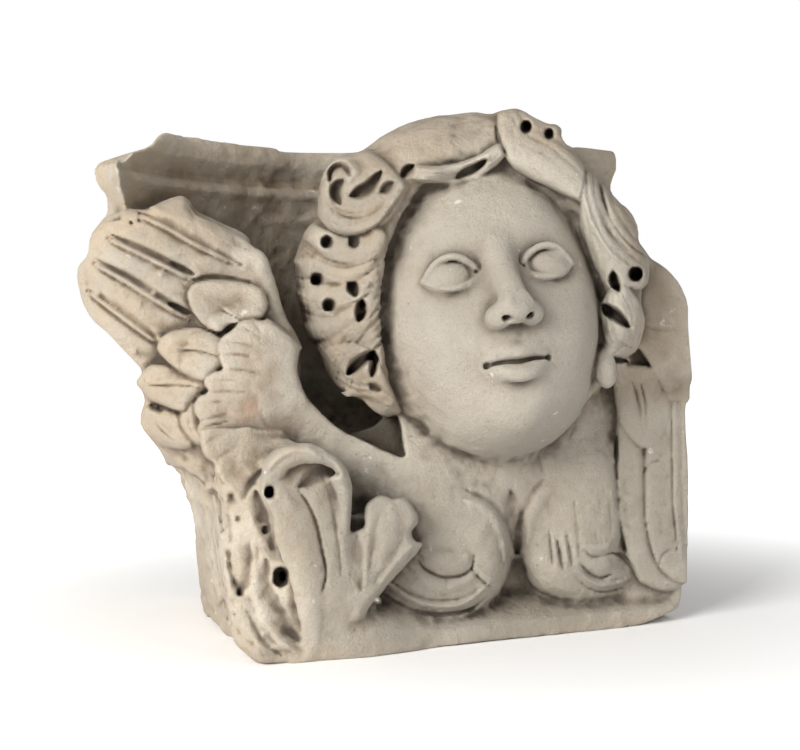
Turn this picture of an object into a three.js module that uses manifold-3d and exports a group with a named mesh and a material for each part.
// Marble cherub head: the carved corner of a small capital, with a winged child's head, an acanthus leaf and two
// scrolling tufts, cut from one stone. Millimetres, +Z up, front towards -Y, origin in the middle of the underside.
import * as THREE from 'three';
import { mergeVertices } from 'three/addons/utils/BufferGeometryUtils.js';
import Module from 'manifold-3d';

const wasm = await Module();
wasm.setup();

const WELD = 0.06; // edges shorter than this close up where pieces join

// Block
const FRONT_Y = -98; // front edge of the ledge
const BACK_Y = 105; // sawn back
const JOINT_X = 126; // sawn face on the right
const BASE_LEFT_X = -146; // broken left edge of the underside
const LEDGE_H = 9; // height of the ledge
const LEDGE_D = 34; // how far the ledge stands out in front of the lower body
const SHOULDER_Z = 110; // top of the lower body, where the bell begins
const TOP_Z = 292; // upper bed

// Moulded top
const MOULDING_H = 49; // plain face, fillet and ovolo together
const OVOLO_H = 24; // upper member, a quarter round
const FILLET_H = 6;
const GROOVE = 9; // depth of the groove under the ovolo
const BELL_INSET = 26; // how far the bell stands back from the moulding's edge
const BELL_NARROW = 48; // and how far its left end stands in from the horn
const HORN_X = -212; // tip of the left horn
const HORN_Y = -30;
const HOLLOW_Y = 58; // deepest point of the moulding's curved front
const RIGHT_HORN_Y = -22;

// Head
const HEAD = new THREE.Vector3(0, -65, 199); // middle of the head, level with the eyes
const HEAD_TURN = -17; // degrees, towards the left
const HEAD_NOD = -13; // degrees, chin lifted
const HEAD_LEAN = -7.5; // degrees, crown towards the left
const FACE_W = 134;
const FACE_D = 138;
const CROWN_H = 84; // from the middle of the head up to the crown of the skull
const CHIN_H = 98; // and down to the chin
const HAIR_T = 33; // thickness of the hair at the sides
const DRILL_D = 6.6; // sculptor's drill

// Wings, leaf and scrolls
const FEATHER_W = 21;
const FEATHER_T = 9;
const COVERT_W = 27;
const FAN_FINGERS = 7;
const LIMB_R = 21; // the smooth root of the left wing
const LEAF_H = 118;
const LEAF_W = 50;
const LEAF_FLUTES = 3;
const SCROLL_R = 40;

const DRILL_R = DRILL_D / 2;
const HEAD_POSE = new THREE.Matrix4()
  .makeRotationZ(THREE.MathUtils.degToRad(HEAD_TURN))
  .multiply(new THREE.Matrix4().makeRotationX(THREE.MathUtils.degToRad(HEAD_NOD)))
  .multiply(new THREE.Matrix4().makeRotationY(THREE.MathUtils.degToRad(HEAD_LEAN)))
  .setPosition(HEAD);

const vec = (x, y, z) => new THREE.Vector3(x, y, z);
const lerp = THREE.MathUtils.lerp;
const smooth = THREE.MathUtils.smoothstep;

// Turns a closed three.js geometry into a Manifold solid with its faces outwards.
function solid(geometry) {
  const bare = geometry.clone();
  bare.deleteAttribute('normal');
  bare.deleteAttribute('uv');
  const welded = mergeVertices(bare, 1e-4);
  const points = welded.attributes.position.array;
  const faces = Uint32Array.from(welded.index.array);
  const a = vec(0, 0, 0);
  const b = vec(0, 0, 0);
  const c = vec(0, 0, 0);
  let volume = 0;
  for (let i = 0; i < faces.length; i += 3) {
    a.fromArray(points, 3 * faces[i]);
    b.fromArray(points, 3 * faces[i + 1]);
    c.fromArray(points, 3 * faces[i + 2]);
    volume += a.dot(b.cross(c));
  }
  if (volume < 0) {
    for (let i = 0; i < faces.length; i += 3) {
      [faces[i], faces[i + 1]] = [faces[i + 1], faces[i]];
    }
  }
  return new wasm.Manifold(new wasm.Mesh({
    numProp: 3,
    vertProperties: Float32Array.from(points),
    triVerts: faces,
    tolerance: WELD,
  }));
}

// A welded geometry whose vertices are moved by a rule.
function shaped(geometry, rule) {
  geometry.deleteAttribute('normal');
  geometry.deleteAttribute('uv');
  const welded = mergeVertices(geometry, 1e-4);
  const at = welded.attributes.position;
  for (let i = 0; i < at.count; i += 1) {
    const p = rule(vec(at.getX(i), at.getY(i), at.getZ(i)));
    at.setXYZ(i, p.x, p.y, p.z);
  }
  return welded;
}

// A box of nu x nv x nw cells, mapped by rule(u, v, w) with each running from 0 to 1.
function block(nu, nv, nw, rule) {
  const box = new THREE.BoxGeometry(1, 1, 1, nu, nv, nw);
  return solid(shaped(box, (p) => rule(p.x + 0.5, p.y + 0.5, p.z + 0.5)));
}

function ball(centre, radii, pose = null, across = 20, up = 14) {
  const sphere = new THREE.SphereGeometry(1, across, up);
  sphere.scale(radii.x, radii.y, radii.z);
  sphere.translate(centre.x, centre.y, centre.z);
  if (pose) sphere.applyMatrix4(pose);
  return solid(sphere);
}

// A bar along a curve. Its section is an ellipse of half-width wide(t) and half-thickness thick(t), and `face` is the
// direction that its broad side looks in.
function sweep(points, wide, thick, face, sides = 8, steps = 10, ridge = 0) {
  const curve = new THREE.CatmullRomCurve3(points, false, 'centripetal');
  const rod = new THREE.CylinderGeometry(1, 1, 1, sides, steps, false);
  return solid(shaped(rod, (p) => {
    const t = THREE.MathUtils.clamp(p.y + 0.5, 0, 1);
    const along = curve.getTangent(t);
    const side = along.clone().cross(face).normalize();
    const out = side.clone().cross(along).normalize();
    const lift = p.z * thick(t) + (p.z > 0.9 ? ridge : 0);
    return curve.getPoint(t).addScaledVector(side, p.x * wide(t)).addScaledVector(out, lift);
  }));
}

// Rounded at both ends, fullest at `peak`.
const bud = (size, peak = 0.55) => (t) => {
  const s = t < peak ? t / peak : (1 - t) / (1 - peak);
  return size * Math.sqrt(0.06 + 0.94 * (1 - (1 - s) ** 2));
};

function feather(root, tip, face, width, thickness, bow = 3) {
  const middle = root.clone().lerp(tip, 0.5).addScaledVector(face, bow);
  const wide = (t) => bud(width / 2, 0.6)(0.12 + 0.88 * t);
  return sweep([root, middle, tip], wide, (t) => bud(thickness / 2, 0.5)(t), face, 6, 4, 1.2);
}

function drill(mouth, inward, depth, radius = DRILL_R, lead = 14) {
  const rod = new THREE.CylinderGeometry(radius, radius, depth + lead, 6);
  const turn = new THREE.Quaternion().setFromUnitVectors(vec(0, 1, 0), inward.clone().normalize());
  rod.applyQuaternion(turn);
  const middle = mouth.clone().addScaledVector(inward.clone().normalize(), (depth - lead) / 2);
  rod.translate(middle.x, middle.y, middle.z);
  return solid(rod);
}

const headPoint = (x, y, z) => vec(x, y, z).applyMatrix4(HEAD_POSE);
const headSide = (x, y, z) => vec(x, y, z).transformDirection(HEAD_POSE);

// The stone block: ledge, lower body, bell and moulded top in one mapped box
const mouldingLine = new THREE.CatmullRomCurve3([
  vec(HORN_X, HORN_Y, 0),
  vec(lerp(HORN_X, JOINT_X, 0.12), lerp(HORN_Y, HOLLOW_Y, 0.46), 0),
  vec(lerp(HORN_X, JOINT_X, 0.25), lerp(HORN_Y, HOLLOW_Y, 0.8), 0),
  vec(lerp(HORN_X, JOINT_X, 0.4), HOLLOW_Y, 0),
  vec(lerp(HORN_X, JOINT_X, 0.52), HOLLOW_Y - 3, 0),
  vec(lerp(HORN_X, JOINT_X, 0.66), lerp(RIGHT_HORN_Y, HOLLOW_Y, 0.7), 0),
  vec(lerp(HORN_X, JOINT_X, 0.88), RIGHT_HORN_Y, 0),
  vec(JOINT_X, RIGHT_HORN_Y + 6, 0),
]);
const FACE_Z = TOP_Z - MOULDING_H;
const OVOLO_Z = TOP_Z - OVOLO_H;
const BODY_Y = FRONT_Y + LEDGE_D;

// Height, how far the front has gone over from the lower body to the bell, and the inset from the moulding's line
const LEVELS = [
  [0, 0, 0], [LEDGE_H, 0, 0], [LEDGE_H + 3, 0.01, 0], [SHOULDER_Z * 0.5, 0.01, 0], [SHOULDER_Z, 0.01, 0],
  [SHOULDER_Z + 10, 0.45, BELL_INSET], [SHOULDER_Z + 24, 1, BELL_INSET], [SHOULDER_Z + 70, 1, BELL_INSET * 0.85],
  [SHOULDER_Z + 110, 1, BELL_INSET * 0.6], [FACE_Z - 4, 1, BELL_INSET * 0.38], [FACE_Z, 1, 5],
  [OVOLO_Z - FILLET_H - 3, 1, 5], [OVOLO_Z - FILLET_H, 1, 2.5], [OVOLO_Z - 1, 1, 2.5], [OVOLO_Z, 1, GROOVE],
  [OVOLO_Z + OVOLO_H * 0.15, 1, 4], [OVOLO_Z + OVOLO_H * 0.45, 1, -1], [OVOLO_Z + OVOLO_H * 0.8, 1, 0], [TOP_Z, 1, 3],
];
const backLeft = (z) => lerp(BASE_LEFT_X + 32, HORN_X + 33, smooth(z, LEDGE_H, FACE_Z));

const stone = block(14, 1, LEVELS.length - 1, (u, v, w) => {
  const [z, over, inset] = LEVELS[Math.round(w * (LEVELS.length - 1))];
  const line = mouldingLine.getPoint(u);
  const along = mouldingLine.getTangent(u);
  const upper = line.addScaledVector(vec(-along.y, along.x, 0), inset);
  const narrow = z < FACE_Z - 2 ? BELL_NARROW * (1 - 0.5 * smooth(z, SHOULDER_Z + 80, FACE_Z)) : 0;
  upper.x += narrow * (1 - u) ** 2;
  const lean = 8 * (1 - u);
  const lower = vec(lerp(BASE_LEFT_X, JOINT_X, u), (over > 0 ? BODY_Y : FRONT_Y) - lean, 0);
  const front = lower.lerp(upper, over > 0.01 ? over : 0);
  const back = vec(lerp(backLeft(z), JOINT_X, u), BACK_Y, 0);
  return front.lerp(back, v).setZ(z);
});

// Head: skull, cheeks, chin, blank eyes, small worn nose and parted lips, then the hair around them
const faceR = FACE_W / 2;
const depthR = FACE_D / 2;
const heightR = (CROWN_H + CHIN_H) / 2;

// Where the plain egg of the head swells or sinks: place, height of the swelling and its spread
const SWELLINGS = [
  [faceR * 0.56, -depthR * 0.74, -CHIN_H * 0.4, 6, 21], [0, -depthR * 0.9, -CHIN_H * 0.54, 6, 19],
  [0, -depthR * 0.7, -CHIN_H * 0.86, 8, 15], [faceR * 0.4, -depthR * 0.36, -CHIN_H * 0.84, 7, 24],
  [faceR * 0.4, -depthR * 0.86, 0, -5, 11], [faceR * 0.4, -depthR * 0.8, 20, 2, 14],
];
const egg = new THREE.SphereGeometry(1, 22, 18);
const headForm = shaped(egg, (p) => {
  const at = vec(p.x * faceR, p.y * depthR + 4, p.z * heightR + (CROWN_H - CHIN_H) / 2);
  const out = vec(p.x / faceR, p.y / depthR, p.z / heightR).normalize();
  let swell = 0;
  for (const [x, y, z, height, spread] of SWELLINGS) {
    const near = at.distanceTo(vec(x * (at.x < 0 ? -1 : 1), y, z));
    swell += height * Math.exp(-(near ** 2) / (2 * spread ** 2));
  }
  return at.addScaledVector(out, swell).applyMatrix4(HEAD_POSE);
});
const face = [solid(headForm)];
for (const side of [-1, 1]) {
  face.push(ball(vec(side * 27, -depthR * 0.68, -2), vec(14, 14, 11), HEAD_POSE, 10, 6));
  const lid = (rise) => [-1, -0.5, 0, 0.5, 1].map((s) => (
    headPoint(side * 27 + 15 * s, -61.5 + 5 * s * s + 2 * s * side, -3 + rise * (1 - s * s))));
  face.push(sweep(lid(10), () => 1.8, () => 1.8, headSide(0, -1, 0), 4, 4));
  face.push(sweep(lid(-7), () => 1.5, () => 1.5, headSide(0, -1, 0), 4, 4));
  face.push(ball(vec(side * 9, -73, -31), vec(7, 8, 7), HEAD_POSE, 8, 6));
}
face.push(sweep([headPoint(0, -60, 8), headPoint(0, -70, -10), headPoint(0, -78, -29)],
  (t) => lerp(6, 9, t), (t) => lerp(5, 9, t), headSide(0, -1, 0), 8, 4));
const lip = (drop, sag, out) => [-1, -0.5, 0, 0.5, 1].map((s) => headPoint(19 * s, out + 6 * s * s, drop + sag * s * s));
face.push(sweep(lip(-48, -4, -67), bud(4.5, 0.5), bud(4, 0.5), headSide(0, -0.9, 0.4), 6, 6));
face.push(sweep(lip(-58, 4, -65), bud(4.5, 0.5), bud(4.5, 0.5), headSide(0, -0.9, -0.4), 6, 6));

const hairR = vec(faceR + HAIR_T, depthR + 9, CROWN_H + 12);
const hairCap = ball(vec(-2, 16, 18), hairR, HEAD_POSE, 16, 11);
const opening = new THREE.CylinderGeometry(faceR * 0.98, faceR * 1.14, 120, 16);
opening.scale(1, 1, 1.32);
opening.translate(0, -90, -26);
opening.applyMatrix4(HEAD_POSE);
const hairBack = ball(vec(2, 64, -6), vec(faceR * 0.9, 66, 84), HEAD_POSE, 10, 8);
let hair = hairCap.subtract(solid(opening)).add(hairBack);

// Each lock: where it runs on the head, in the head's own frame, and its half-width
const LOCKS = [
  [[[20, -44, 78], [12, -58, 62], [-8, -61, 54], [-30, -57, 53], [-48, -50, 56]], 11],
  [[[14, -42, 82], [34, -52, 66], [48, -52, 52], [58, -44, 42]], 12],
  [[[-58, -46, 64], [-80, -34, 72], [-90, -24, 54], [-78, -38, 36], [-58, -50, 42]], 11],
  [[[-80, -34, 34], [-96, -16, 22], [-98, -6, 2], [-92, -2, -20], [-78, -4, -42], [-64, -10, -58]], 16],
  [[[-72, -38, 26], [-80, -34, 6], [-80, -28, -14], [-76, -20, -34], [-68, -18, -52]], 10],
  [[[56, -36, 62], [70, -36, 44], [76, -34, 22], [86, -22, 4]], 12],
  [[[62, -40, 34], [70, -40, 12], [70, -38, -6], [66, -36, -18]], 9],
  [[[80, -24, 0], [88, -18, -18], [84, -18, -38], [70, -22, -46], [60, -26, -34], [66, -30, -20]], 9],
];
for (const [run, halfWidth] of LOCKS) {
  const points = run.map(([x, y, z]) => headPoint(x, y, z));
  hair = hair.add(sweep(points, bud(halfWidth, 0.4), bud(halfWidth * 0.9, 0.4), headSide(0, -1, 0), 6, 6));
}

// Drill holes in the hair, in the head's own frame
const HOLES = [
  [-72, -23, 74], [-82, -26, 58], [-66, -40, 58], [-57, -45, 62], [-88, -26, 31], [-75, -40, 27], [-97, -18, 14],
  [-80, -36, 1], [-94, -18, -1], [-78, -32, -11], [-78, -14, -36], [-40, -52, 61], [-6, -61, 57], [33, -42, 82],
  [50, -34, 78], [84, -24, -4], [72, -34, -13], [72, -30, -32],
];
const holes = HOLES.map(([x, y, z]) => drill(headPoint(x, y, z), headSide(-x * 0.25, 1, -z * 0.1).normalize(), 10));

// Neck and the chest under it
const trunk = [
  sweep([headPoint(0, 0, -40), vec(-12, -50, 110), vec(-12, -40, 80)], (t) => lerp(40, 50, t), (t) => lerp(38, 42, t),
    vec(0, -1, 0), 12, 4),
  ball(vec(-6, -40, 86), vec(92, 47, 34), null, 12, 8),
  sweep([vec(20, -52, 96), vec(60, -58, 118), vec(92, -55, 135)], () => 26, () => 24, vec(0, -1, 0), 8, 4),
];

// Left wing: its mass, the smooth root that runs to the neck, the scalloped fan, flight feathers and coverts
const wingFace = vec(-0.45, -0.89, 0).normalize();
const wing = [
  ball(vec(-172, -12, 196), vec(46, 46, 56), null, 10, 8),
  ball(vec(-152, -16, 142), vec(38, 46, 46), null, 10, 6),
  block(2, 2, 2, (u, v, w) => {
    const x = lerp(-160, -128, u) - 14 * w * (1 - v) - 6 * u * w;
    return vec(x, lerp(-36, 80, v) + 16 * (1 - u), lerp(112, 240 - 20 * u, w));
  }),
  sweep([vec(-40, -62, 92), vec(-88, -70, 110), vec(-118, -68, 134), vec(-132, -58, 168), vec(-134, -44, 212)],
    (t) => LIMB_R * (0.8 + 0.3 * Math.sin(Math.PI * t)), () => LIMB_R * 0.8, wingFace, 8, 7),
];
for (let i = 0; i < FAN_FINGERS; i += 1) {
  const a = THREE.MathUtils.degToRad(lerp(106, 246, i / (FAN_FINGERS - 1)));
  const tip = vec(-126 + 50 * Math.cos(a), -68 + 6 * Math.cos(a), 139 + 55 * Math.sin(a));
  wing.push(feather(vec(-116, -72, 132), tip, wingFace, 25, 22, 2));
}
const FLIGHT = [
  [[-140, -54, 208], [-184, -30, 244]], [[-144, -60, 198], [-204, -30, 236]], [[-160, -58, 190], [-216, -26, 224]],
  [[-166, -54, 176], [-222, -20, 206]], [[-174, -48, 160], [-216, -14, 184]],
];
for (const [root, tip] of FLIGHT) wing.push(feather(vec(...root), vec(...tip), wingFace, FEATHER_W, FEATHER_T * 1.6, 6));
const COVERTS = [
  [[-142, -66, 182], [-178, -62, 196]], [[-152, -64, 156], [-193, -56, 167]], [[-160, -60, 140], [-201, -48, 150]],
  [[-164, -46, 116], [-196, -32, 124]],
];
for (const [root, tip] of COVERTS) wing.push(feather(vec(...root), vec(...tip), wingFace, COVERT_W, FEATHER_T * 1.8, 3));

// Broken stone under the left wing
const broken = block(2, 4, 5, (u, v, w) => {
  const z = lerp(0, 128, w);
  const left = lerp(BASE_LEFT_X, BASE_LEFT_X + 18, v) - 26 * smooth(z, 84, 128) - 6 * smooth(z, 4, 40);
  return vec(lerp(left + 3 * Math.sin(9 * v + 7 * w), -96, u), lerp(-84 + 30 * w * (1 - u), 70, v), z);
});

// Acanthus leaf at the front left corner, with a rolled top and a side lobe
const flute = (u) => 3 * Math.abs(Math.sin(Math.PI * LEAF_FLUTES * u));
const leaf = [
  block(2 * LEAF_FLUTES, 1, 8, (u, v, w) => {
    const half = lerp(LEAF_W * 0.26, LEAF_W * 0.5, Math.sqrt(w));
    const x = lerp(-111, -129, w) + (2 * u - 1) * half;
    const y = -101 - 14 * w * w - flute(u);
    return vec(x, v < 0.5 ? y : -58, lerp(1, LEAF_H - 14, w));
  }),
  sweep([vec(-149, -98, 94), vec(-145, -110, 108), vec(-130, -118, LEAF_H - 4), vec(-113, -120, 110),
    vec(-104, -117, 92), vec(-102, -112, 66)], bud(8, 0.45), bud(7, 0.45), vec(0, -1, 0), 6, 8),
];
const lobeFoot = vec(-98, -98, 22);
for (const [x, z, width] of [[-86, 88, 17], [-74, 83, 18], [-64, 70, 16]]) {
  leaf.push(sweep([lobeFoot, vec(lerp(lobeFoot.x, x, 0.6), -106, lerp(lobeFoot.z, z, 0.6)), vec(x, -108, z)],
    (t) => lerp(4, width / 2, t) * (t > 0.95 ? 0.6 : 1), () => 7, vec(-0.2, -1, 0), 8, 6));
}
leaf.push(block(1, 1, 2, (u, v, w) => vec(lerp(-118, -78, u), lerp(-102, -70, v), lerp(6, 60, w))));
const leafHollow = ball(vec(-124, -124, 98), vec(9, 14, 9), null, 10, 8);

// Scrolls under the chin: a full upper ball and the curled rim below it
const scrolls = [];
for (const [x, y, z, r, way] of [[-27, -54, 54, SCROLL_R, -1], [57, -54, 54, SCROLL_R * 0.95, 1]]) {
  scrolls.push(ball(vec(x, y, z), vec(r, r * 0.95, r * 1.15), null, 14, 9));
  const rim = [0, 1, 2, 3, 4].map((i) => {
    const a = THREE.MathUtils.degToRad(-50 * way * (i - 1.2) - 90 + 20 * way);
    return vec(x + r * 0.72 * Math.cos(a), y - r * 0.45, z - r * 0.12 + r * 0.86 * Math.sin(a));
  });
  scrolls.push(sweep(rim, bud(r * 0.34, 0.5), bud(r * 0.36, 0.5), vec(0, -1, 0), 6, 6));
}

// Right wing, hanging, cut by the joint face
const hanging = [
  block(3, 2, 5, (u, v, w) => vec(lerp(82, JOINT_X + 4, u), lerp(-76 - 8 * Math.sin(Math.PI * w), 40, v), lerp(6, 206, w))),
  ball(vec(112, -58, 190), vec(30, 32, 28), null, 14, 10),
];
const PLUMES = [
  [[112, -84, 178], [116, -88, 132], 34], [[98, -84, 142], [98, -88, 98], 28], [[94, -80, 112], [108, -84, 20], 22],
  [[116, -78, 112], [118, -84, 18], 24],
];
for (const [root, tip, width] of PLUMES) {
  hanging.push(feather(vec(...root), vec(...tip), vec(-0.1, -1, 0).normalize(), width, FEATHER_T * 1.5, 3));
}

// The broken end of the left horn and the chipped corner of the ledge
function chip(corner, size, roll, turn) {
  const box = new THREE.BoxGeometry(size, size, size, 1, 1, 1);
  box.translate(0, 0, size / 2);
  box.applyMatrix4(new THREE.Matrix4().makeRotationZ(turn).multiply(new THREE.Matrix4().makeRotationY(roll)));
  box.translate(corner.x, corner.y, corner.z);
  return solid(box);
}
const chips = [
  chip(vec(HORN_X + 18, HORN_Y + 90, TOP_Z - 18), 250, -0.6, 0),
  chip(vec(JOINT_X - 2, FRONT_Y, LEDGE_H * 0.3), 60, 1.9, -0.6),
];

const sideHoles = [[-146, -96, 96, DRILL_R * 0.9], [-140, -78, 52, DRILL_R * 1.5], [-146, -70, 76, DRILL_R * 0.7]];
for (const [x, y, z, r] of sideHoles) holes.push(drill(vec(x, y, z), vec(0.6, 0.8, 0), 14, r));

// One stone
let cherub = stone.add(broken);
for (const piece of [...trunk, ...face, hair, ...wing, ...leaf, ...scrolls, ...hanging]) cherub = cherub.add(piece);
for (const hole of [...holes, leafHollow, ...chips]) cherub = cherub.subtract(hole);
const room = new THREE.BoxGeometry(600, 2 * BACK_Y + 400, TOP_Z + 40);
room.translate(JOINT_X - 300, BACK_Y - (2 * BACK_Y + 400) / 2, (TOP_Z + 40) / 2);
cherub = cherub.intersect(solid(room));
const joined = cherub.getMesh();
const welded = new wasm.Manifold(new wasm.Mesh({
  numProp: 3,
  vertProperties: joined.vertProperties,
  triVerts: joined.triVerts,
  tolerance: 3 * WELD,
}));
// The stone itself, without the crumbs that touching faces can leave
const [whole] = welded.decompose().sort((a, b) => b.volume() - a.volume());

function meshOf(body, name, material) {
  const data = body.getMesh();
  const geometry = new THREE.BufferGeometry();
  geometry.setAttribute('position', new THREE.BufferAttribute(data.vertProperties, 3));
  geometry.setIndex(new THREE.BufferAttribute(data.triVerts, 1));
  const mesh = new THREE.Mesh(geometry, material);
  mesh.name = name;
  return mesh;
}

const marble = new THREE.MeshStandardMaterial({ color: 0xc9c0ae, roughness: 0.62, metalness: 0 });
const group = new THREE.Group();
group.name = 'marble_cherub_head';
group.add(meshOf(whole, 'carved_stone', marble));

export default group;
